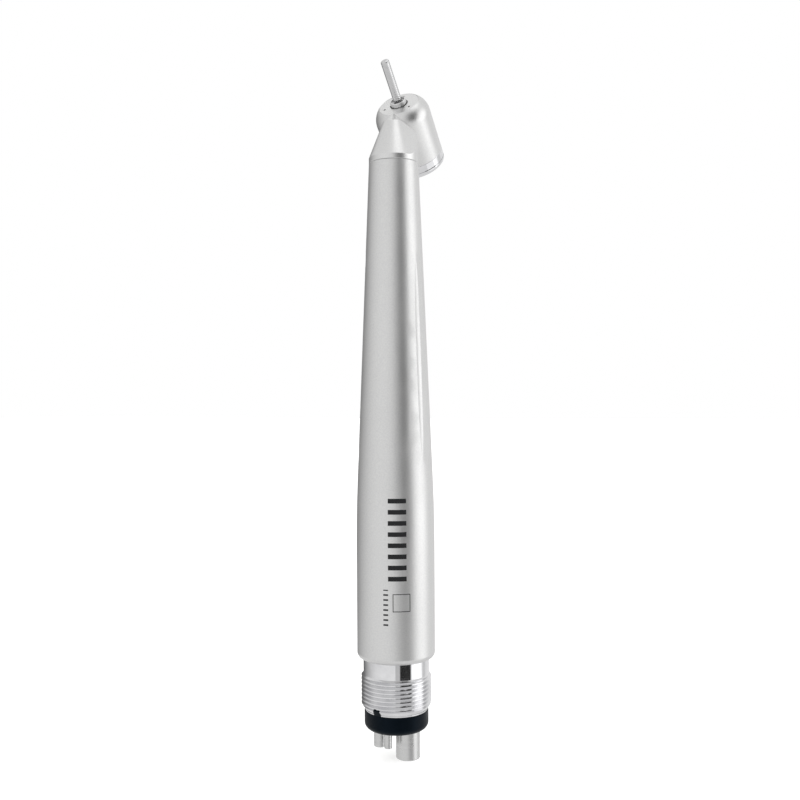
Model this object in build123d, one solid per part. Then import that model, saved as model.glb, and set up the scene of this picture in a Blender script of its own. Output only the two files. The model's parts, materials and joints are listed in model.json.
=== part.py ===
from build123d import *
import math
import os

# 45-degree surgical air-turbine handpiece with a four-hole threaded hose connector.
# Millimetres. The origin is the centre of the connector gasket's rear sealing face.
# +Z runs along the handle towards the head, the bur leans towards -Y, and X = 0 is the head's plane of symmetry.

# ---- connector ----
port_angle = 24.5  # the line through the exhaust and drive-air ports, turned from +X towards +Y
exhaust_offset, exhaust_radius, exhaust_wall, exhaust_reach = 2.1, 2.25, 0.45, 5.7
drive_offset, drive_radius, drive_wall, drive_reach = -3.05, 1.2, 0.4, 3.5
small_offset, small_side, small_radius, small_wall, small_reach = -1.55, 2.6, 0.7, 0.25, 3.05
bead_start, bead_end, bead_height = 0.15, 0.75, 0.2  # the bead on each tube that the gasket snaps over
tube_top = 12.0  # where the connector's short tubes end inside the connector body
gasket_height, gasket_radius, gasket_foot_radius, gasket_round_height = 3.55, 5.97, 4.85, 1.35
tab_angle, tab_width, tab_height, tab_root, tab_face = -11.5, 1.45, 1.4, 4.5, 6.35
connector_foot_radius = 5.86
thread_start, thread_end, thread_radius, thread_root, thread_pitch = 4.8, 10.3, 6.53, 6.11, 0.74
thread_core, thread_flank, thread_chamfer = 5.9, 34.0, 0.35
collar_radius, collar_end = 6.13, 13.15
spigot_radius, spigot_end = 5.65, 26.5
spigot_groove, groove_start, groove_end = 5.1, 15.2, 16.4

# ---- handle ----
barrel_end_radius, barrel_radius, barrel_round_end = 6.26, 7.27, 14.2
taper_slope, taper_arc_radius = 0.0405, 282.0
barrel_top, barrel_top_radius = 105.15, 4.64
barrel_wall = 1.0
flute_middle, flute_half_length, flute_width, flute_depth = 69.0, 18.7, 1.45, 0.12
flute_angles = (71.5, 180.0, -71.5)  # turned from -Y towards +X
spacer_heights, spacer_thickness = (45.0, 76.0), 1.6

# ---- neck ----
neck_start, neck_radius, neck_band_top = 105.2, 4.64, 106.2
facet_half_angle, facet_sector = 21.6, 60.0
neck_corner, neck_corner_round, neck_end_angle = 110.5, 1.4, 47.0
neck_spigot_radius, neck_spigot_start, neck_bore_radius = 4.0, 96.0, 3.4
neck_groove, neck_groove_start, neck_groove_end = 3.65, 99.0, 100.0

# ---- head: radii and depths behind the face, along the turbine axis ----
face_y, face_z, head_tilt = 2.5, 117.1, 45.0
head_radius, face_radius, shoulder_depth = 5.3, 3.9, 2.8
housing_depth, cap_skirt_start, chamber_radius, cap_thread_radius = 10.9, 9.7, 4.4, 4.7
seat_radius, seat_start, seat_end = 3.75, 1.6, 4.6
plate_radius, plate_thickness, spindle_hole_radius = 3.86, 0.8, 1.75
spray_radius, spray_hole_radius, spray_angles = 2.9, 0.22, (90.0, 210.0, 330.0)
cap_floor, pocket_floor, cap_lip, cap_end, cap_mouth_radius = 10.9, 11.25, 12.95, 13.5, 4.05
cap_crown, pocket_radius, cap_floor_hole = 0.85, 4.4, 1.6
cap_grip_start, cap_grip_end, cap_grip_depth = 12.3, 12.45, 0.12
button_radius, button_flange_radius, button_flange_top, button_flange, button_apex = 3.98, 4.3, 12.6, 0.33, 14.0
button_round, button_boss_radius, plunger_gap = 0.3, 1.1, 0.32

# ---- turbine cartridge ----
bearing_bore, bearing_outside, bearing_width = 1.5875, 3.175, 2.38
ball_count, ball_radius, ball_circle, ball_clearance = 8, 0.47, 2.38, 0.05
inner_land, outer_land = 2.0, 2.76
front_bearing, rear_bearing = 2.0, 8.3  # depths where the bearings start
spindle_radius, spindle_nose_radius, spindle_bore, spindle_nose, spindle_tail = 1.58, 1.55, 1.3, -0.85, 10.75
impeller_radius, impeller_hub, impeller_start, impeller_end, vane_count = 4.15, 2.35, 4.85, 7.95, 9
collet_outer, collet_bore, collet_start, collet_end, collet_slit = 1.27, 0.82, -0.5, 7.5, 0.16
plunger_radius, plunger_start, plunger_end = 1.0, 10.0, 11.5
bur_radius, bur_reach, bur_length = 0.8, 8.9, 18.3
bur_neck, bur_neck_start, bur_neck_end = 0.6, -0.67, -0.05

head_plane = Plane(origin=(0, face_y, face_z), x_dir=(1, 0, 0),
                   z_dir=(0, -math.sin(math.radians(head_tilt)), math.cos(math.radians(head_tilt))))


def turned(*outline):
    """A lathe part about Z from (radius, height) corners."""
    return revolve(Plane.XZ * make_face(Polyline(*outline, close=True)), Axis.Z)


def turned_profile(*edges):
    """A lathe part about Z from connected edges drawn in (radius, height)."""
    return revolve(Plane.XZ * make_face(Curve() + list(edges)), Axis.Z)


def rod(radius, start, end, x=0, y=0):
    return Pos(x, y, start) * Cylinder(radius, end - start, align=(Align.CENTER, Align.CENTER, Align.MIN))


def in_head(shape):
    """Places a part drawn about Z, with depth as -Z, on the turbine axis."""
    return head_plane.location * shape


def head_turned(*outline):
    """A lathe part on the turbine axis from (radius, depth) corners."""
    return in_head(turned(*[(radius, -depth) for radius, depth in outline]))


def head_ring(inner, outer, start, end):
    return head_turned((inner, start), (outer, start), (outer, end), (inner, end))


def drilled(start, end, radius):
    """A straight drilled passage between two points."""
    path = Line(start, end)
    return sweep(Plane(origin=start, z_dir=path % 0) * Circle(radius), path=path)


def port(offset, side=0):
    """Place of a connector port from its offsets along and across the port line."""
    turn = math.radians(port_angle)
    x = offset * math.cos(turn) - side * math.sin(turn)
    y = offset * math.sin(turn) + side * math.cos(turn)
    return x, y


exhaust_place = port(exhaust_offset)
drive_place = port(drive_offset)
water_place = port(small_offset, -small_side)
chip_place = port(small_offset, small_side)
ports = {
    "exhaust_tube": (exhaust_place, exhaust_radius, exhaust_wall, exhaust_reach),
    "drive_air_tube": (drive_place, drive_radius, drive_wall, drive_reach),
    "water_tube": (water_place, small_radius, small_wall, small_reach),
    "chip_air_tube": (chip_place, small_radius, small_wall, small_reach),
}

# where the three lines run in the neck, and where the neck's drilled passages lead
line_data = {
    "drive_air_line": {"low": drive_place, "high": (-1.2, 2.2), "bend": (62, 92), "radius": 0.8, "wall": 0.2,
                       "line_seat": -0.4},
    "water_line": {"low": water_place, "high": (-0.3, 0.3), "bend": (58, 88), "radius": 0.45, "wall": 0.15,
                   "line_seat": 0.9},
    "chip_air_line": {"low": chip_place, "high": (1.1, 0.9), "bend": (32, 56), "radius": 0.55, "wall": 0.15,
                      "line_seat": 0.9},
}
passages = [
    ((-1.2, 2.2, neck_band_top - 0.3), (-1.2, 3.5, 110.4), 0.8),
    ((1.2, 2.0, neck_band_top - 0.3), (1.2, 3.3, 110.2), 0.85),
    ((-0.3, 0.3, neck_band_top - 0.3), (-0.3, 0.8, 114.4), 0.35),
    ((1.1, 0.9, neck_band_top - 0.3), (0.8, 0.9, 114.4), 0.35),
]


def barrel_outline():
    """The handle's outer line, from the connector end to the neck."""
    bend = math.degrees(math.atan(taper_slope))
    shoulder = RadiusArc((barrel_end_radius, collar_end), (barrel_radius, barrel_round_end), -1.15)
    knee = barrel_top - (barrel_radius - barrel_top_radius) / taper_slope
    taper_start = knee - taper_arc_radius * math.tan(math.radians(bend / 2))
    grip = Line((barrel_radius, barrel_round_end), (barrel_radius, taper_start))
    blend = JernArc(start=(barrel_radius, taper_start), tangent=(0, 1), radius=taper_arc_radius, arc_size=bend)
    taper = Line(blend @ 1, (barrel_top_radius, barrel_top))
    return [shoulder, grip, blend, taper]


def bore_radius(z):
    """Radius of the handle's inside wall in its tapered stretch."""
    return barrel_top_radius + (barrel_top - z) * taper_slope - barrel_wall


def barrel_shell():
    outer = barrel_outline()
    seat = bore_radius(neck_spigot_start)
    inner = Polyline((barrel_top_radius, barrel_top), (neck_spigot_radius, barrel_top), (neck_spigot_radius, neck_spigot_start),
                     (seat, neck_spigot_start - 1), (bore_radius(40), 40), (bore_radius(40), spigot_end + 1.5),
                     (spigot_radius + 0.03, spigot_end + 1.0), (spigot_radius + 0.03, collar_end),
                     (barrel_end_radius, collar_end))
    shell = turned_profile(*outer, inner)
    for angle in flute_angles:
        shell -= flute(angle)
    return shell


def flute(angle):
    """A cutter for one long shallow grip flute: a thick ring segment that just dips into the taper."""
    half_width = flute_width / 2
    cutter_radius = half_width ** 2 / (2 * flute_depth)
    ring_radius = flute_half_length ** 2 / (2 * flute_depth)
    lean = math.degrees(math.atan(taper_slope))
    surface = bore_radius(flute_middle) + barrel_wall
    reach = flute_half_length * 1.4
    rise = reach ** 2 / (2 * ring_radius)
    path = ThreePointArc((rise, 0, -reach), (0, 0, 0), (rise, 0, reach))
    cutter = sweep(Plane(origin=path @ 0, z_dir=path % 0) * Circle(cutter_radius), path=path)
    seated = Pos(surface - flute_depth + cutter_radius, 0, flute_middle) * Rot(0, -lean, 0) * cutter
    return Rot(0, 0, angle - 90) * seated


def tab(clearance=0.0):
    """The gasket's locating tab, and with clearance the notch it sits in."""
    half = tab_width / 2 + clearance
    straight = tab_height - tab_width / 2
    outline = Rectangle(2 * half, straight + 0.2, align=(Align.CENTER, Align.MIN))
    outline += Pos(0, straight + 0.2) * Circle(half)
    block = extrude(Plane(origin=(0, -tab_root, gasket_height - 0.2), x_dir=(1, 0, 0), z_dir=(0, -1, 0)) * outline, 3.0)
    return Rot(0, 0, tab_angle) * block


def connector_body():
    blank = turned(
        (0, gasket_height), (connector_foot_radius, gasket_height), (thread_core, thread_start - 1.0),
        (thread_core, thread_end), (collar_radius, thread_end), (collar_radius, collar_end),
        (spigot_radius, collar_end), (spigot_radius, groove_start), (spigot_groove, groove_start),
        (spigot_groove, groove_end), (spigot_radius, groove_end), (spigot_radius, spigot_end), (0, spigot_end))
    notch = tab(0.02)
    blank = (blank - notch) + (thread() - notch)
    for place, radius, wall, reach in ports.values():
        blank -= rod(radius, 0, tube_top + 0.3, *place)
    blank -= rod(exhaust_radius - exhaust_wall, tube_top, spigot_end + 1, *exhaust_place)
    for line in line_data.values():
        blank -= rod(line["radius"], tube_top, spigot_end + 1, *line["low"])
    return blank


def thread():
    """The hose-nut thread as a ring: a right-hand V groove that runs out at a lead-in cone and at the collar."""
    run_out = 2 * thread_pitch
    start, end = thread_start - run_out, thread_end + run_out
    depth = thread_radius - thread_root
    path = Helix(pitch=thread_pitch, height=end - start, radius=thread_radius)
    above = 0.1
    half_mouth = (depth + above) * math.tan(math.radians(thread_flank))
    vee = Polyline((-depth, 0), (above, half_mouth), (above, -half_mouth), close=True)
    section = Plane(origin=(thread_radius, 0, 0), x_dir=(1, 0, 0), z_dir=(0, -1, 0)) * make_face(vee)
    groove = Pos(0, 0, start) * sweep(section, path=path, is_frenet=True)
    inside = thread_core - 0.4
    sleeve = turned((inside, start - 0.4), (thread_radius, start - 0.4), (thread_radius, end + 0.4), (inside, end + 0.4))
    lead_in = thread_start - 1.0
    kept = turned((inside, lead_in), (thread_core, lead_in), (thread_radius, thread_start),
                  (thread_radius, thread_end - thread_chamfer), (collar_radius, thread_end), (inside, thread_end))
    return (sleeve - groove) & kept


def coupling_gasket():
    foot = ThreePointArc((gasket_foot_radius, 0), (5.72, 0.48), (gasket_radius, gasket_round_height))
    rest = Polyline((gasket_radius, gasket_round_height), (gasket_radius, gasket_height - 0.1),
                    (gasket_radius - 0.1, gasket_height), (0, gasket_height), (0, 0), (gasket_foot_radius, 0))
    gasket = turned_profile(foot, rest)
    gasket += tab() & turned((0, 0), (gasket_radius, 0), (gasket_radius, gasket_height), (tab_face, gasket_height + 1),
                             (tab_face, gasket_height + 2), (0, gasket_height + 2))
    for place, radius, wall, reach in ports.values():
        gasket -= rod(radius, -1, gasket_height + 1, *place)
        gasket -= rod(radius + bead_height, bead_start, bead_end, *place)
    return gasket


def port_tube(place, radius, wall, reach):
    """A connector tube with a softened end and the bead that holds the gasket."""
    tube = rod(radius, -reach, tube_top, *place) + rod(radius + bead_height, bead_start, bead_end, *place)
    tube -= rod(radius - wall, -reach - 1, tube_top + 1, *place)
    rims = tube.edges().filter_by(GeomType.CIRCLE).group_by(Axis.Z)[0]
    return fillet(rims, wall * 0.45)


def supply_line(low, high, bend, radius, wall, line_seat):
    """A thin supply line that shifts across the handle between two heights."""
    top = neck_band_top + line_seat
    path = FilletPolyline((*low, tube_top), (*low, bend[0]), (*high, bend[1]), (*high, top), radius=40)
    start = Plane(origin=path @ 0, z_dir=path % 0)
    return sweep(start * (Circle(radius) - Circle(radius - wall)), path=path)


def line_spacer(height, holes):
    """A plastic disc that keeps the lines apart inside the handle."""
    radius = bore_radius(height) - 0.05
    disc = turned((0, height), (radius, height), (radius - spacer_thickness * taper_slope, height + spacer_thickness),
                  (0, height + spacer_thickness))
    for place, hole in holes:
        disc -= rod(hole, height - 1, height + spacer_thickness + 1, *place)
    for angle in (45, 165, 285):
        disc -= Rot(0, 0, angle) * rod(0.9, height - 1, height + spacer_thickness + 1, radius, 0)
    return disc


def line_spacers():
    pieces = []
    for height in spacer_heights:
        holes = []
        for line in line_data.values():
            first, last = line["bend"]
            share = min(1, max(0, (height + spacer_thickness / 2 - first) / (last - first)))
            x = line["low"][0] + share * (line["high"][0] - line["low"][0])
            y = line["low"][1] + share * (line["high"][1] - line["low"][1])
            holes.append(((x, y), line["radius"] + 0.12))
        pieces.append(line_spacer(height, holes))
    return Compound(children=pieces)


def facet_envelope():
    """What the milled facet leaves: a cone at the front that runs on into two tangent planes at its sides."""
    base = neck_start - 15
    apex = neck_band_top + neck_radius / math.tan(math.radians(facet_half_angle))
    size = (apex - base) * math.tan(math.radians(facet_half_angle))
    turn = math.radians(facet_sector)
    reach = 40
    right = (size * math.sin(turn), -size * math.cos(turn))
    far = (right[0] + reach * math.cos(turn), right[1] + reach * math.sin(turn))
    front = ThreePointArc((-right[0], right[1]), (0, -size), right)
    sides = Polyline(right, far, (-far[0], far[1]), (-right[0], right[1]))
    section = Pos(0, 0, base) * make_face(Curve() + [front, sides])
    return extrude(section, apex - base - 3.0, taper=facet_half_angle)


def head_blank():
    """The head's solid outer form, for fitting the neck to it."""
    return in_head(turned_profile(*head_outline(), Polyline((head_radius, -housing_depth), (0, -housing_depth), (0, 0),
                                                            (face_radius, 0))))


def head_outline():
    """The head's outer line from the face to the back: a round shoulder, then a cylinder."""
    step = head_radius - face_radius
    shoulder_arc = (step ** 2 + shoulder_depth ** 2) / (2 * step)
    shoulder = JernArc(start=(head_radius, -shoulder_depth), tangent=(0, 1), radius=shoulder_arc,
                       arc_size=math.degrees(math.asin(shoulder_depth / shoulder_arc)))
    return [shoulder, Line((head_radius, -shoulder_depth), (head_radius, -housing_depth))]


def neck_housing():
    top = neck_corner + neck_radius / math.tan(math.radians(neck_end_angle))
    outline = Polyline((0, neck_start), (neck_radius - 0.12, neck_start), (neck_radius, neck_start + 0.12),
                       (neck_radius, neck_corner), (0.3, top - 0.3), (0, top - 0.3), close=True)
    section = make_face(outline)
    corner = section.vertices().sort_by_distance((neck_radius, neck_corner))[0]
    section = fillet(corner, neck_corner_round)
    neck = revolve(Plane.XZ * section, Axis.Z) & facet_envelope()
    neck += rod(neck_spigot_radius, neck_spigot_start, neck_start + 0.01)
    neck -= rod(neck_bore_radius, neck_spigot_start - 1, neck_band_top - 0.3)
    neck -= turned((neck_groove, neck_groove_start), (5, neck_groove_start), (5, neck_groove_end),
                   (neck_groove, neck_groove_end))
    for passage in passages:
        neck -= drilled(*passage)
    for name in ("water_line", "chip_air_line"):
        line = line_data[name]
        neck -= rod(line["radius"], neck_band_top - 0.4, neck_band_top + line["line_seat"] + 0.1, *line["high"])
    neck -= head_blank()
    return max(neck.solids(), key=lambda piece: piece.volume)


def head_housing():
    inner = Polyline(
        (head_radius, -housing_depth), (cap_thread_radius, -housing_depth), (cap_thread_radius, -cap_skirt_start),
        (chamber_radius, -cap_skirt_start), (chamber_radius, -seat_end), (seat_radius, -seat_end),
        (seat_radius, -seat_start), (2.3, -seat_start), (2.3, -plate_thickness), (plate_radius, -plate_thickness),
        (plate_radius, -0.06), (face_radius, 0))
    housing = in_head(turned_profile(*head_outline(), inner))
    for passage in passages:
        housing -= drilled(*passage)
    return housing


def spray_plate():
    """The face plate with the spray holes and a gallery behind them."""
    plate = turned(
        (spindle_hole_radius, 0), (plate_radius - 0.08, 0), (plate_radius, -0.08), (plate_radius, -plate_thickness),
        (3.45, -plate_thickness), (3.45, -0.45), (2.4, -0.45), (2.4, -plate_thickness),
        (spindle_hole_radius, -plate_thickness))
    for angle in spray_angles:
        plate -= Rot(0, 0, angle) * rod(spray_hole_radius, -1, 1, spray_radius, 0)
    return in_head(plate)


def back_cap():
    """The screwed cap: a skirt inside the housing, a band flush with the head, a fine groove and a round crown."""
    crown = RadiusArc((head_radius, -cap_end + cap_crown), (head_radius - cap_crown, -cap_end), cap_crown)
    chamfer = 0.12
    rest = Polyline((head_radius - cap_crown, -cap_end), (cap_mouth_radius, -cap_end),
                    (cap_mouth_radius, -cap_lip), (pocket_radius, -cap_lip), (pocket_radius, -pocket_floor),
                    (cap_floor_hole, -pocket_floor), (cap_floor_hole, -cap_floor), (chamber_radius, -cap_floor),
                    (chamber_radius, -cap_skirt_start), (cap_thread_radius, -cap_skirt_start),
                    (cap_thread_radius, -housing_depth), (head_radius - chamfer, -housing_depth),
                    (head_radius, -housing_depth - chamfer), (head_radius, -cap_grip_start),
                    (head_radius - cap_grip_depth, -cap_grip_start), (head_radius - cap_grip_depth, -cap_grip_end),
                    (head_radius, -cap_grip_end), (head_radius, -cap_end + cap_crown))
    return in_head(turned_profile(crown, rest))


def push_button():
    flange_bottom = button_flange_top + button_flange
    boss = plunger_end + plunger_gap
    dome_edge, dome_drop = button_radius - button_round, 0.35
    dome_radius = (dome_edge ** 2 + dome_drop ** 2) / (2 * dome_drop)
    dome_sweep = math.degrees(math.asin(dome_edge / dome_radius))
    dome = JernArc(start=(0, -button_apex), tangent=(1, 0), radius=dome_radius, arc_size=dome_sweep)
    rim = -button_apex + dome_drop
    corner = RadiusArc(dome @ 1, (button_radius, rim + button_round), -button_round * 1.1)
    rest = Polyline((button_radius, rim + button_round), (button_radius, -flange_bottom),
                    (button_flange_radius, -flange_bottom), (button_flange_radius, -button_flange_top),
                    (button_boss_radius, -button_flange_top), (button_boss_radius, -boss), (0, -boss),
                    (0, -button_apex))
    return in_head(turned_profile(dome, corner, rest))


def coil(radius, wire, start, end, turns):
    """A plain helical spring on the turbine axis between two depths."""
    height = end - start - 2 * wire
    path = Helix(pitch=height / turns, height=height, radius=radius)
    spring = sweep(Plane(origin=path @ 0, z_dir=path % 0) * Circle(wire), path=path, is_frenet=True)
    return in_head(Pos(0, 0, -end + wire) * spring)


def bearing_race(inner, outer, start):
    """One ring of a bearing, with the ball groove in the side that faces the balls."""
    ring = head_ring(inner, outer, start, start + bearing_width)
    middle = start + bearing_width / 2
    groove = Pos(0, 0, -middle) * Torus(ball_circle, ball_radius + ball_clearance)
    return ring - in_head(groove)


def bearing_balls(start):
    middle = start + bearing_width / 2
    balls = []
    for index in range(ball_count):
        turn = Rot(0, 0, index * 360 / ball_count)
        balls.append(in_head(turn * Pos(ball_circle, 0, -middle) * Sphere(ball_radius)))
    return Compound(children=balls)


def bearing_cage(start):
    middle = start + bearing_width / 2
    cage = turned((2.1, -middle - 0.85), (2.64, -middle - 0.85), (2.64, -middle + 0.85), (2.1, -middle + 0.85))
    for index in range(ball_count):
        turn = Rot(0, 0, index * 360 / ball_count)
        cage -= turn * Pos(ball_circle, 0, -middle) * Rot(0, 90, 0) * Cylinder(ball_radius + 0.04, 2)
    return in_head(cage)


def damper_ring(start):
    """The O-ring that lets a bearing float in its seat."""
    section = (seat_radius - bearing_outside) / 2
    return in_head(Pos(0, 0, -(start + bearing_width / 2)) * Torus(bearing_outside + section, section - 0.01))


def rear_bearing_seat():
    """The cartridge's rear ring, which carries the back bearing and closes the turbine chamber."""
    start = rear_bearing - 0.2
    return head_turned((2.6, start), (chamber_radius - 0.02, start), (chamber_radius - 0.02, cap_floor),
                       (seat_radius, cap_floor), (seat_radius, rear_bearing - 0.02), (2.6, rear_bearing - 0.02))


def spindle():
    shaft = turned((spindle_bore, -spindle_nose), (spindle_nose_radius - 0.1, -spindle_nose),
                   (spindle_nose_radius, -spindle_nose - 0.1), (spindle_nose_radius, -1.4),
                   (spindle_radius, -1.6), (spindle_radius, -spindle_tail), (spindle_bore, -spindle_tail))
    return in_head(shaft)


def turbine_impeller():
    wheel = turned((spindle_radius, -impeller_start), (impeller_radius, -impeller_start),
                   (impeller_radius, -impeller_end), (spindle_radius, -impeller_end))
    middle = (impeller_start + impeller_end) / 2
    for index in range(vane_count):
        turn = Rot(0, 0, index * 360 / vane_count)
        scoop = Pos(3.75, 0, -middle) * Rot(0, 0, 25) * Cylinder(0.98, impeller_end)
        scoop += Pos(4.4, 0.35, -middle) * Rot(0, 0, 25) * Cylinder(0.98, impeller_end)
        wheel -= turn * scoop
    return in_head(wheel + turned((spindle_radius, -impeller_start), (impeller_hub, -impeller_start),
                                  (impeller_hub, -impeller_end), (spindle_radius, -impeller_end)))


def chuck_collet():
    """A split sleeve that grips the bur's shank."""
    sleeve = turned((collet_bore + 0.1, -collet_start), (collet_outer - 0.05, -collet_start),
                    (collet_outer, -collet_start - 0.05), (collet_outer, -collet_end), (collet_bore, -collet_end),
                    (collet_bore, -collet_start - 0.1))
    slit_length = 5.0
    for index in range(3):
        slit = Pos(1.0, 0, -collet_start - slit_length / 2 + 0.1) * Box(1.0, collet_slit, slit_length + 0.2)
        sleeve -= Rot(0, 0, 30 + index * 120) * slit
    return in_head(sleeve)


def chuck_plunger():
    return head_turned((0, plunger_start), (plunger_radius, plunger_start), (plunger_radius, plunger_end - 0.2),
                       (plunger_radius - 0.2, plunger_end), (0, plunger_end))


def bur_blank():
    """A plain round pin in the chuck: rounded ends, and a relief groove that sits inside the spindle's nose."""
    tip = bur_reach
    tail = bur_reach - bur_length
    round_end = 0.35
    outline = Polyline((0, tail), (bur_radius, tail), (bur_radius, tip), (0, tip), close=True)
    section = make_face(outline)
    corners = section.vertices().group_by(Axis.X)[-1]
    pin = revolve(Plane.XZ * fillet(corners, round_end), Axis.Z)
    pin -= turned((bur_neck, -bur_neck_start), (1, -bur_neck_start), (1, -bur_neck_end), (bur_neck, -bur_neck_end))
    return in_head(pin)


def seal_ring(inner, outer, start, end):
    """A rubber ring squeezed into a groove on the handle's axis."""
    section = Pos((inner + outer) / 2, (start + end) / 2) * RectangleRounded(outer - inner, end - start, 0.15)
    return revolve(Plane.XZ * section, Axis.Z)


def nodes():
    yield "barrel_shell", barrel_shell()
    yield "connector_body", connector_body()
    yield "coupling_gasket", coupling_gasket()
    for name, tube in ports.items():
        yield name, port_tube(*tube)
    for name, line in line_data.items():
        yield name, supply_line(**line)
    yield "line_spacers", line_spacers()
    yield "barrel_seal_ring", seal_ring(spigot_groove, spigot_radius + 0.03, groove_start + 0.1, groove_end - 0.1)
    yield "neck_seal_ring", seal_ring(neck_groove, neck_spigot_radius, neck_groove_start + 0.1, neck_groove_end - 0.1)
    yield "neck_housing", neck_housing()
    yield "head_housing", head_housing()
    yield "spray_plate", spray_plate()
    yield "back_cap", back_cap()
    yield "push_button", push_button()
    yield "button_spring", coil(3.4, 0.14, pocket_floor, button_flange_top, 2)
    for side, start in (("front", front_bearing), ("rear", rear_bearing)):
        yield side + "_inner_race", bearing_race(spindle_radius, inner_land, start)
        yield side + "_outer_race", bearing_race(outer_land, bearing_outside, start)
        yield side + "_bearing_balls", bearing_balls(start)
        yield side + "_bearing_cage", bearing_cage(start)
        yield side + "_damper_ring", damper_ring(start)
    yield "front_dust_shield", head_ring(spindle_radius + 0.1, seat_radius - 0.05, seat_start + 0.02, seat_start + 0.2)
    yield "preload_washer", head_ring(2.8, 3.6, seat_start + 0.22, front_bearing - 0.02)
    yield "rear_bearing_seat", rear_bearing_seat()
    yield "spindle", spindle()
    yield "turbine_impeller", turbine_impeller()
    yield "chuck_collet", chuck_collet()
    yield "chuck_spring", coil(1.08, 0.1, collet_end + 0.05, plunger_start - 0.02, 5)
    yield "chuck_plunger", chuck_plunger()
    yield "bur_blank", bur_blank()


os.makedirs("parts", exist_ok=True)
for name, shape in nodes():
    export_step(shape, f"parts/{name}.step")
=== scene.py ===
import bpy
import json
import math
from mathutils import Euler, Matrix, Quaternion, Vector


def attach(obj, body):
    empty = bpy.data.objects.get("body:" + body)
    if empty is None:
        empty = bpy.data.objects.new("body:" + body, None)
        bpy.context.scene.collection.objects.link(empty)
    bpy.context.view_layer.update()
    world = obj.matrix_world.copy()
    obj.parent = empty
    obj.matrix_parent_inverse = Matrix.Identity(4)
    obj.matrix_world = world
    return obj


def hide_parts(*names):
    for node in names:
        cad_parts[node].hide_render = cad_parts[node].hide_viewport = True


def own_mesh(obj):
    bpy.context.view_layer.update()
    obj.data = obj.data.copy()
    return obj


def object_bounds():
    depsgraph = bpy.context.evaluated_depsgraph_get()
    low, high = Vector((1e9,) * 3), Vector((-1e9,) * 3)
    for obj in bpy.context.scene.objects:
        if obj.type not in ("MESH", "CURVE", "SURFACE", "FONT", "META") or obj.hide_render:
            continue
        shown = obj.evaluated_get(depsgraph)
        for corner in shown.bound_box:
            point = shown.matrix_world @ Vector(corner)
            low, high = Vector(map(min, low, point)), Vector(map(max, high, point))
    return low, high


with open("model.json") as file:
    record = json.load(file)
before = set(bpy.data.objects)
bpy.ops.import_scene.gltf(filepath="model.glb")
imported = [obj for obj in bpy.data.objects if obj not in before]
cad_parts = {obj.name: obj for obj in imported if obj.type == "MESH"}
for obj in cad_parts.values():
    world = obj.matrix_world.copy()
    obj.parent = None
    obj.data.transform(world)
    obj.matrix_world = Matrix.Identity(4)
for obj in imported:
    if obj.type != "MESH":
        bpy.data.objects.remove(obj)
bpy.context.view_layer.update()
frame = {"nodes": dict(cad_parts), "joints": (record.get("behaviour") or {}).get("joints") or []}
nodes = frame["nodes"]
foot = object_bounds()[0]
millimetre = 0.001
print("frame loaded:", len(nodes), "nodes")


def toLinear(hexColour):
    values = [int(hexColour[i:i + 2], 16) / 255 for i in (1, 3, 5)]
    linear = [v / 12.92 if v <= 0.04045 else ((v + 0.055) / 1.055) ** 2.4 for v in values]
    return (*linear, 1.0)


def perMetre(size):  # pattern repeats in one metre, from the size of one repeat in millimetres
    return 1.0 / (size * millimetre)


# adds one node of any kind, with its settings, and a link or a value for each socket;
# gives back the node itself, or the output that is asked for
def addNode(tree, kind, settings=None, inputs=None, result=None):
    node = tree.nodes.new(kind)
    for name, value in (settings or {}).items():
        setattr(node, name, value)
    for name, value in (inputs or {}).items():
        if isinstance(value, bpy.types.NodeSocket):
            tree.links.new(value, node.inputs[name])
        else:
            node.inputs[name].default_value = value
    return node if result is None else node.outputs[result]


def newMaterial(name, metallic=0.0):
    material = bpy.data.materials.new(name)
    material.use_nodes = True
    tree = material.node_tree
    tree.nodes.clear()
    shader = addNode(tree, "ShaderNodeBsdfPrincipled", {}, {"Metallic": metallic})
    addNode(tree, "ShaderNodeOutputMaterial", {}, {"Surface": shader.outputs["BSDF"]})
    place = addNode(tree, "ShaderNodeTexCoord", result="Object")
    return material, tree, shader, place


# a soft cloudy value between two limits
def cloudy(tree, place, size, low, high, detail=3.0):
    noise = addNode(tree, "ShaderNodeTexNoise", {}, {
        "Vector": place, "Scale": perMetre(size), "Detail": detail}, "Fac")
    return addNode(tree, "ShaderNodeMapRange", {}, {
        "Value": noise, "From Min": 0.3, "From Max": 0.7,  # the noise is mostly in this range
        "To Min": low, "To Max": high}, "Result")


# dresses a surface: two colours shared out by a pattern, a roughness, and relief of a depth in millimetres
def dress(tree, shader, pattern, first, second, roughness, height, depth):
    colour = addNode(tree, "ShaderNodeMix", {"data_type": "RGBA"}, {
        0: pattern, 6: toLinear(first), 7: toLinear(second)}, 2)
    relief = addNode(tree, "ShaderNodeBump", {}, {
        "Height": height, "Strength": 1.0, "Distance": depth * millimetre}, "Normal")
    tree.links.new(colour, shader.inputs["Base Color"])
    tree.links.new(roughness, shader.inputs["Roughness"])
    tree.links.new(relief, shader.inputs["Normal"])
    return colour


handleAxis = (0.0, 0.0, 1.0)
headAxis = tuple(next(j["axis"] for j in frame["joints"] if j["name"] == "rotor_spin"))
# slanted, across the pin's grinding lines
hatchAxis = tuple(Vector(headAxis) * 0.8 + Vector((0.6, 0.0, 0.0)))


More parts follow.
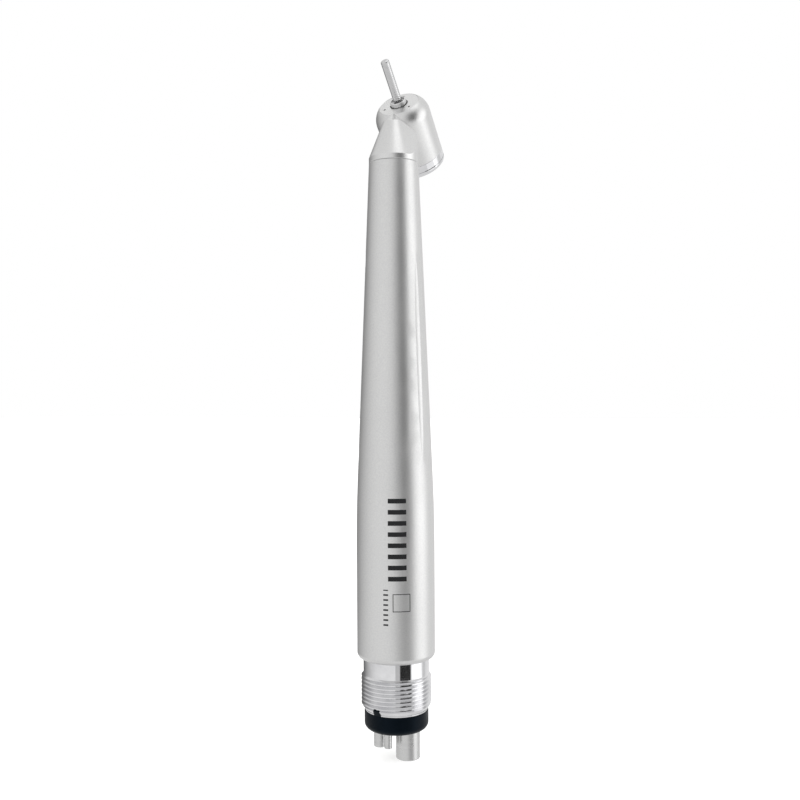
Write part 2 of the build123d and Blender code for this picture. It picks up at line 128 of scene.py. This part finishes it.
# laser marks on the grip: a scale of short bars and an empty frame, burnt dark into the plating
laserMark = {
    "dark": "#141517", "side": 25.0, "radius": 7.27,  # degrees round from the front, and the grip's radius
    "barsFoot": 28.5, "barsTop": 44.4, "pitch": 2.0, "barHeight": 0.85, "barWidth": 3.4, "barsAside": 0.25,
    "ticksFoot": 20.5, "ticksTop": 27.0, "tickPitch": 0.9, "tickHeight": 0.3, "tickWidth": 0.9,
    "ticksAside": -1.9, "roughness": 0.25, "oxide": 0.8,
    "frameMiddle": 24.6, "frameAside": 1.0, "frameSize": 1.55, "frameLine": 0.14,
}


# a column of bars, one every pitch, between two heights
def markColumn(tree, across, up, foot, top, pitch, height, width, aside):
    inside = addNode(tree, "ShaderNodeMath", {"operation": "COMPARE"}, {
        0: up, 1: (foot + top) / 2, 2: (top - foot) / 2}, "Value")
    beside = addNode(tree, "ShaderNodeMath", {"operation": "COMPARE"}, {
        0: across, 1: aside, 2: width / 2}, "Value")
    column = addNode(tree, "ShaderNodeMath", {"operation": "MULTIPLY"}, {0: inside, 1: beside}, "Value")
    step = addNode(tree, "ShaderNodeMath", {"operation": "WRAP"}, {0: up, 1: foot + pitch, 2: foot}, "Value")
    bar = addNode(tree, "ShaderNodeMath", {"operation": "LESS_THAN"}, {0: step, 1: foot + height}, "Value")
    return addNode(tree, "ShaderNodeMath", {"operation": "MULTIPLY"}, {0: column, 1: bar}, "Value")


# a thin empty square
def markFrame(tree, across, up, look):
    aside = addNode(tree, "ShaderNodeMath", {"operation": "SUBTRACT"}, {
        0: across, 1: look["frameAside"]}, "Value")
    above = addNode(tree, "ShaderNodeMath", {"operation": "SUBTRACT"}, {
        0: up, 1: look["frameMiddle"]}, "Value")
    aside = addNode(tree, "ShaderNodeMath", {"operation": "ABSOLUTE"}, {0: aside}, "Value")
    above = addNode(tree, "ShaderNodeMath", {"operation": "ABSOLUTE"}, {0: above}, "Value")
    square = addNode(tree, "ShaderNodeMath", {"operation": "MAXIMUM"}, {0: aside, 1: above}, "Value")
    return addNode(tree, "ShaderNodeMath", {"operation": "COMPARE"}, {
        0: square, 1: look["frameSize"], 2: look["frameLine"] / 2}, "Value")


def laserMask(tree, place, look):
    parts = addNode(tree, "ShaderNodeSeparateXYZ", {}, {"Vector": place}).outputs
    front = addNode(tree, "ShaderNodeMath", {"operation": "MULTIPLY"}, {0: parts["Y"], 1: -1.0}, "Value")
    turn = addNode(tree, "ShaderNodeMath", {"operation": "ARCTAN2"}, {0: parts["X"], 1: front}, "Value")
    across = addNode(tree, "ShaderNodeMath", {"operation": "MULTIPLY_ADD"}, {
        0: turn, 1: look["radius"], 2: -look["radius"] * math.radians(look["side"])}, "Value")
    up = addNode(tree, "ShaderNodeMath", {"operation": "MULTIPLY"}, {
        0: parts["Z"], 1: 1.0 / millimetre}, "Value")
    bars = markColumn(tree, across, up, look["barsFoot"], look["barsTop"], look["pitch"],
                      look["barHeight"], look["barWidth"], look["barsAside"])
    ticks = markColumn(tree, across, up, look["ticksFoot"], look["ticksTop"], look["tickPitch"],
                       look["tickHeight"], look["tickWidth"], look["ticksAside"])
    both = addNode(tree, "ShaderNodeMath", {"operation": "MAXIMUM"}, {0: bars, 1: ticks}, "Value")
    return addNode(tree, "ShaderNodeMath", {"operation": "MAXIMUM"}, {
        0: both, 1: markFrame(tree, across, up, look)}, "Value")


# nickel-plated brass, blasted with fine glass beads
# grey and even from afar, with a soft blurred gleam and a faint sparkle of grit close up
satinHandle = {
    "bright": "#E4E4E3", "dull": "#DCDCDC", "smooth": 0.37, "rough": 0.43, "handling": 9.0,
    "grit": 0.25, "gritDepth": 0.005,  # real beads leave 0.05 mm dimples, drawn coarser so that they show
    "gritRoughness": 0.03,
}
satinHead = {
    "bright": "#E6E6E5", "dull": "#DEDEDE", "smooth": 0.31, "rough": 0.37, "handling": 5.0,
    "grit": 0.22, "gritDepth": 0.003, "gritRoughness": 0.03,
}


def beadBlastedNickel(name, look, marked=False):
    material, tree, shader, place = newMaterial(name, metallic=1.0)
    grit = cloudy(tree, place, look["grit"], 0.0, 1.0, detail=2.0)
    handled = cloudy(tree, place, look["handling"], look["smooth"], look["rough"], detail=4.0)  # palms rub it
    roughness = addNode(tree, "ShaderNodeMath", {"operation": "MULTIPLY_ADD"}, {
        0: grit, 1: look["gritRoughness"], 2: handled}, "Value")
    colour = dress(tree, shader, grit, look["bright"], look["dull"], roughness, grit, look["gritDepth"])
    if marked:
        mask = laserMask(tree, place, laserMark)
        burnt = addNode(tree, "ShaderNodeMix", {"data_type": "RGBA"}, {
            0: mask, 6: colour, 7: toLinear(laserMark["dark"])}, 2)
        matt = addNode(tree, "ShaderNodeMath", {"operation": "MULTIPLY_ADD"}, {
            0: mask, 1: laserMark["roughness"], 2: roughness}, "Value")
        bare = addNode(tree, "ShaderNodeMath", {"operation": "MULTIPLY_ADD"}, {
            0: mask, 1: -laserMark["oxide"], 2: 1.0}, "Value")
        tree.links.new(burnt, shader.inputs["Base Color"])
        tree.links.new(matt, shader.inputs["Roughness"])
        tree.links.new(bare, shader.inputs["Metallic"])  # the burnt layer is oxide, not bare metal
    return material


# polished nickel-chrome plating
# mirror bright, with hairlines from wiping that run around the piece
chromeConnector = {
    "colour": "#E9E9EA", "haze": "#DADADC", "smooth": 0.05, "rough": 0.11,
    "hairline": 0.28, "hairlineDepth": 0.0006, "patch": 3.0, "axis": handleAxis,
}
chromeCap = {
    "colour": "#E9E9EA", "haze": "#DEDEE0", "smooth": 0.05, "rough": 0.10,
    "hairline": 0.25, "hairlineDepth": 0.0005, "patch": 3.0, "axis": headAxis,
}


def polishedChrome(name, look):
    material, tree, shader, place = newMaterial(name, metallic=1.0)
    depth = addNode(tree, "ShaderNodeVectorMath", {"operation": "DOT_PRODUCT"}, {
        0: place, 1: look["axis"]}, "Value")
    rings = addNode(tree, "ShaderNodeTexNoise", {"noise_dimensions": "1D"}, {
        "W": depth, "Scale": perMetre(look["hairline"]), "Detail": 4.0}, "Fac")
    haze = cloudy(tree, place, look["patch"], 0.0, 1.0)
    wiped = cloudy(tree, place, look["patch"], look["smooth"], look["rough"])
    dress(tree, shader, haze, look["colour"], look["haze"], wiped, rings, look["hairlineDepth"])
    return material


# machined metals, turned, ground or drawn
# bright, with fine lines left by the tool and a slightly greyer cast than the plating
turnedTube = {
    "colour": "#DEDEDD", "groove": "#C9C9C9", "smooth": 0.24, "rough": 0.32,
    "feed": 0.25, "feedDepth": 0.0018, "axis": handleAxis,
}
turnedHeadPart = {
    "colour": "#E6E6E6", "groove": "#DADADA", "smooth": 0.36, "rough": 0.44,
    "feed": 0.14, "feedDepth": 0.0006, "axis": headAxis,
}
groundPin = {
    "colour": "#DADADA", "groove": "#C8C8C9", "smooth": 0.16, "rough": 0.24,
    "feed": 0.3, "feedDepth": 0.010, "axis": hatchAxis,
}
groundBearing = {
    "colour": "#CFCFD1", "groove": "#C2C2C5", "smooth": 0.08, "rough": 0.14,
    "feed": 0.08, "feedDepth": 0.0005, "axis": headAxis,
}
milledAluminium = {
    "colour": "#DCDCDE", "groove": "#C8C8CB", "smooth": 0.2, "rough": 0.34,
    "feed": 0.3, "feedDepth": 0.003, "axis": (1.0, 0.0, 0.0),
}
drawnWire = {
    "colour": "#BFBFC0", "groove": "#9C9C9E", "smooth": 0.18, "rough": 0.3,
    "feed": 0.12, "feedDepth": 0.0012, "axis": headAxis,
}


driftPatch, wearPatch = 1.5, 2.2  # millimetres over which the lines wander and the shine changes
lineDrift = 0.3  # how far the lines wander, in radians of their own repeat


def machinedMetal(name, look):
    material, tree, shader, place = newMaterial(name, metallic=1.0)
    depth = addNode(tree, "ShaderNodeVectorMath", {"operation": "DOT_PRODUCT"}, {
        0: place, 1: look["axis"]}, "Value")
    drift = cloudy(tree, place, driftPatch, -lineDrift, lineDrift)
    phase = addNode(tree, "ShaderNodeMath", {"operation": "MULTIPLY_ADD"}, {
        0: depth, 1: math.tau * perMetre(look["feed"]), 2: drift}, "Value")
    ridges = addNode(tree, "ShaderNodeMath", {"operation": "SINE"}, {0: phase}, "Value")
    uneven = addNode(tree, "ShaderNodeTexNoise", {"noise_dimensions": "1D"}, {
        "W": depth, "Scale": perMetre(look["feed"] * 3), "Detail": 3.0}, "Fac")
    height = addNode(tree, "ShaderNodeMath", {"operation": "MULTIPLY"}, {0: ridges, 1: uneven}, "Value")
    worn = cloudy(tree, place, wearPatch, look["smooth"], look["rough"])
    dress(tree, shader, uneven, look["colour"], look["groove"], worn, height, look["feedDepth"])
    return material


# moulded nitrile rubber
# nearly black with a blue cast, a dull skin with a fine mould grain, and a broad weak gleam
nitrileRubber = {
    "colour": "#030609", "dusty": "#070C11", "gleam": "#9FC3E8", "smooth": 0.32, "rough": 0.46,
    "grain": 0.3, "grainDepth": 0.006, "dust": 1.8, "rubbing": 2.4, "ior": 1.52, "specular": 0.12,
}


def mouldedRubber(name, look):
    material, tree, shader, place = newMaterial(name)
    grain = cloudy(tree, place, look["grain"], 0.0, 1.0)
    dust = cloudy(tree, place, look["dust"], 0.0, 1.0)
    rubbed = cloudy(tree, place, look["rubbing"], look["smooth"], look["rough"])
    dress(tree, shader, dust, look["colour"], look["dusty"], rubbed, grain, look["grainDepth"])
    shader.inputs["IOR"].default_value = look["ior"]
    shader.inputs["Specular IOR Level"].default_value = look["specular"]
    shader.inputs["Specular Tint"].default_value = toLinear(look["gleam"])
    return material


# small plastics and ceramic inside the head and the handle
# an even body colour with flecks of filler and a slight skin texture
phenolicResin = {
    "colour": "#8B5E34", "fleck": "#6B4322", "rough": 0.48, "weave": 0.22, "depth": 0.004, "ior": 1.6,
}
acetalPlastic = {
    "colour": "#E9E7E0", "fleck": "#DFDCD3", "rough": 0.36, "weave": 0.6, "depth": 0.003, "ior": 1.48,
}
siliconNitride = {
    "colour": "#17181B", "fleck": "#222428", "rough": 0.06, "weave": 0.15, "depth": 0.0003, "ior": 2.0,
}


def smallMoulding(name, look):
    material, tree, shader, place = newMaterial(name)
    flecks = cloudy(tree, place, look["weave"], 0.0, 1.0)
    skin = cloudy(tree, place, look["weave"] * 2, look["rough"] * 0.8, look["rough"] * 1.2)
    dress(tree, shader, flecks, look["colour"], look["fleck"], skin, flecks, look["depth"])
    shader.inputs["IOR"].default_value = look["ior"]
    return material


# which nodes wear each finish
wearers = [
    (beadBlastedNickel("Nickel plating, bead blasted, handle", satinHandle, marked=True), ["barrel_shell"]),
    (beadBlastedNickel("Nickel plating, bead blasted, head", satinHead),
     ["neck_housing", "head_housing", "spray_plate"]),
    (polishedChrome("Chrome plating, polished, connector", chromeConnector), ["connector_body"]),
    (polishedChrome("Chrome plating, polished, cap", chromeCap), ["back_cap", "push_button"]),
    (machinedMetal("Stainless steel, turned, tubes", turnedTube),
     ["exhaust_tube", "drive_air_tube", "water_tube", "chip_air_tube",
      "drive_air_line", "water_line", "chip_air_line"]),
    (machinedMetal("Stainless steel, turned, turbine", turnedHeadPart),
     ["spindle", "chuck_collet", "chuck_plunger", "rear_bearing_seat", "front_dust_shield"]),
    (machinedMetal("Stainless steel, ground, pin", groundPin), ["bur_blank"]),
    (machinedMetal("Bearing steel, ground", groundBearing),
     ["front_inner_race", "front_outer_race", "rear_inner_race", "rear_outer_race"]),
    (machinedMetal("Aluminium, milled", milledAluminium), ["turbine_impeller"]),
    (machinedMetal("Spring steel, drawn", drawnWire), ["button_spring", "chuck_spring", "preload_washer"]),
    (mouldedRubber("Nitrile rubber, moulded", nitrileRubber),
     ["coupling_gasket", "barrel_seal_ring", "neck_seal_ring", "front_damper_ring", "rear_damper_ring"]),
    (smallMoulding("Phenolic resin, machined", phenolicResin), ["front_bearing_cage", "rear_bearing_cage"]),
    (smallMoulding("Acetal, moulded", acetalPlastic), ["line_spacers"]),
    (smallMoulding("Silicon nitride, lapped", siliconNitride), ["front_bearing_balls", "rear_bearing_balls"]),
]
dressed = set()
for material, names in wearers:
    for name in names:
        piece = nodes[name]
        if not piece.material_slots:
            piece.data.materials.append(material)
        for slot in piece.material_slots:
            slot.material = material
        dressed.add(name)
print("finishes given to", len(dressed), "of", len(nodes), "nodes; left plain:", sorted(set(nodes) - dressed))


# the two springs, each copied onto the body that carries it, in place of the plain part
springs = {
    "button_spring": {"body": "handpiece", "joint": "button_push", "travel": 0.70},
    "chuck_spring": {"body": "rotor", "joint": "plunger_slide", "travel": 0.40},
}


def shorteningSpring(name, look):
    node = nodes[name]
    mesh = node.data.copy()
    mesh.transform(node.matrix_world)
    spring = bpy.data.objects.new("shortening_" + name, mesh)
    bpy.context.scene.collection.objects.link(spring)
    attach(spring, look["body"])
    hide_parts(name)
    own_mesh(spring)


for name, look in springs.items():
    shorteningSpring(name, look)
print("springs made:", len(springs))


# floor: a sheet of matt white board
floorBoard = {
    "size": 6.0, "colour": "#F4F4F3", "shade": "#F1F1F1", "glow": 0.66, "rough": 0.8,
    "fibre": 1.0, "fibreDepth": 0.004, "tonePatch": 400.0, "roughPatch": 40.0,
}


def whiteFloor(look):
    half = look["size"] / 2
    level = foot.z
    corners = [(-half, -half, level), (half, -half, level), (half, half, level), (-half, half, level)]
    mesh = bpy.data.meshes.new("floor_board")
    mesh.from_pydata(corners, [], [(0, 1, 2, 3)])
    board = bpy.data.objects.new("floor_board", mesh)
    bpy.context.scene.collection.objects.link(board)
    material, tree, shader, place = newMaterial("Card, matt white")
    fibres = cloudy(tree, place, look["fibre"], 0.0, 1.0)
    tone = cloudy(tree, place, look["tonePatch"], 0.0, 1.0)
    skin = cloudy(tree, place, look["roughPatch"], look["rough"] * 0.9, look["rough"])
    dress(tree, shader, tone, look["colour"], look["shade"], skin, fibres, look["fibreDepth"])
    shader.inputs["Emission Color"].default_value = toLinear(look["colour"])
    shader.inputs["Emission Strength"].default_value = look["glow"]
    mesh.materials.append(material)
    board.visible_glossy = False  # the metal shows the studio around it, not the board


whiteFloor(floorBoard)
print("floor laid")


# camera: degrees and millimetres, with the nearest and furthest limits in metres
cameraView = {
    "azimuth": 24.5, "distance": 181.4, "height": 61.1, "aside": 0.95, "roll": -0.3,
    "lens": 43.65, "sensor": 36.0, "nearest": 0.005, "furthest": 50.0,
}


def placeCamera(look):
    turn = math.radians(look["azimuth"])
    towards = Vector((math.sin(turn), -math.cos(turn), 0.0))
    right = Vector((math.cos(turn), math.sin(turn), 0.0))
    data = bpy.data.cameras.new("camera")
    data.lens = look["lens"]
    data.sensor_width = look["sensor"]
    data.clip_start = look["nearest"]
    data.clip_end = look["furthest"]
    camera = bpy.data.objects.new("camera", data)
    bpy.context.scene.collection.objects.link(camera)
    target = right * look["aside"] + Vector((0.0, 0.0, look["height"]))
    camera.location = (target + towards * look["distance"]) * millimetre
    level = Euler((math.radians(90), 0.0, turn)).to_quaternion()
    camera.rotation_mode = "QUATERNION"
    camera.rotation_quaternion = level @ Quaternion((0, 0, 1), math.radians(look["roll"]))
    bpy.context.scene.camera = camera


placeCamera(cameraView)
print("camera placed")


# studio: a white tent with a dark gap beside the camera, and soft lights
# each band is (degrees to the right of the camera, brightness); 180 is straight behind the piece
tent = {
    "bands": [
        (-180, 0.12), (-150, 0.18), (-125, 0.40), (-100, 0.66), (-78, 0.82), (-50, 0.90),
        (-4, 0.88), (-2, 0.56), (12, 0.56), (14, 0.015), (50, 0.015), (56, 1.34), (98, 1.34),
        (106, 0.70), (118, 0.70), (124, 0.86), (165, 0.86), (180, 0.30),
    ],
    # brightness of the roof and the table, and the sines of the slopes between which each takes over
    "roof": 0.80, "roofFrom": 0.35, "roofTo": 0.6,
    "table": 0.80, "tableFrom": -0.285, "tableTo": -0.315,
}
softLights = {  # degrees round from the front, metres and watts; aim is the height a lamp points at
    "right_softbox": {
        "azimuth": 104.0, "distance": 0.55, "height": 0.06, "aim": 0.06,
        "width": 0.30, "length": 1.0, "watts": 0.25,
    },
    "overhead_softbox": {
        "azimuth": 62.0, "distance": 0.16, "height": 0.9, "aim": 0.0,
        "width": 0.5, "length": 1.0, "watts": 0.9,
    },
}


def buildTent(look):
    world = bpy.data.worlds.new("white tent")
    bpy.context.scene.world = world
    world.use_nodes = True
    tree = world.node_tree
    tree.nodes.clear()
    direction = addNode(tree, "ShaderNodeTexCoord", result="Generated")
    turned = addNode(tree, "ShaderNodeVectorRotate", {"rotation_type": "Z_AXIS"}, {
        "Vector": direction, "Angle": -math.radians(cameraView["azimuth"])}, "Vector")
    parts = addNode(tree, "ShaderNodeSeparateXYZ", {}, {"Vector": turned}).outputs
    front = addNode(tree, "ShaderNodeMath", {"operation": "MULTIPLY"}, {0: parts["Y"], 1: -1.0}, "Value")
    angle = addNode(tree, "ShaderNodeMath", {"operation": "ARCTAN2"}, {0: parts["X"], 1: front}, "Value")
    share = addNode(tree, "ShaderNodeMath", {"operation": "MULTIPLY_ADD"}, {
        0: angle, 1: 1 / math.tau, 2: 0.5}, "Value")
    ramp = addNode(tree, "ShaderNodeValToRGB", {}, {"Fac": share})
    stops = ramp.color_ramp.elements
    while len(stops) > 1:
        stops.remove(stops[-1])
    for count, (degrees, level) in enumerate(look["bands"]):
        stop = stops[0] if count == 0 else stops.new(degrees / 360 + 0.5)
        stop.position = degrees / 360 + 0.5
        stop.color = (level, level, level, 1.0)
    up = addNode(tree, "ShaderNodeMapRange", {"interpolation_type": "SMOOTHSTEP"}, {
        "Value": parts["Z"], "From Min": look["roofFrom"], "From Max": look["roofTo"]}, "Result")
    down = addNode(tree, "ShaderNodeMapRange", {"interpolation_type": "SMOOTHSTEP"}, {
        "Value": parts["Z"], "From Min": look["tableFrom"], "From Max": look["tableTo"]}, "Result")
    shown = ramp.outputs["Color"]
    for fade, level in ((up, look["roof"]), (down, look["table"])):
        shown = addNode(tree, "ShaderNodeMix", {"data_type": "RGBA"}, {
            0: fade, 6: shown, 7: (level, level, level, 1.0)}, 2)
    seen = addNode(tree, "ShaderNodeLightPath", result="Is Camera Ray")
    shown = addNode(tree, "ShaderNodeMix", {"data_type": "RGBA"}, {
        0: seen, 6: shown, 7: (1.0, 1.0, 1.0, 1.0)}, 2)  # the camera itself sees plain white
    background = addNode(tree, "ShaderNodeBackground", {}, {"Color": shown, "Strength": 1.0}, "Background")
    addNode(tree, "ShaderNodeOutputWorld", {}, {"Surface": background})


def hangLight(name, look):
    data = bpy.data.lights.new(name, "AREA")
    data.shape = "RECTANGLE"
    data.size = look["width"]
    data.size_y = look["length"]
    data.energy = look["watts"]
    light = bpy.data.objects.new(name, data)
    bpy.context.scene.collection.objects.link(light)
    turn = math.radians(look["azimuth"])
    light.location = (look["distance"] * math.sin(turn), -look["distance"] * math.cos(turn), look["height"])
    facing = Vector((0.0, 0.0, look["aim"])) - light.location
    light.rotation_euler = facing.to_track_quat("-Z", "Y").to_euler()
    light.visible_camera = False


buildTent(tent)
for name, look in softLights.items():
    hangLight(name, look)
bpy.context.scene.view_settings.view_transform = "Standard"
print("studio lit")
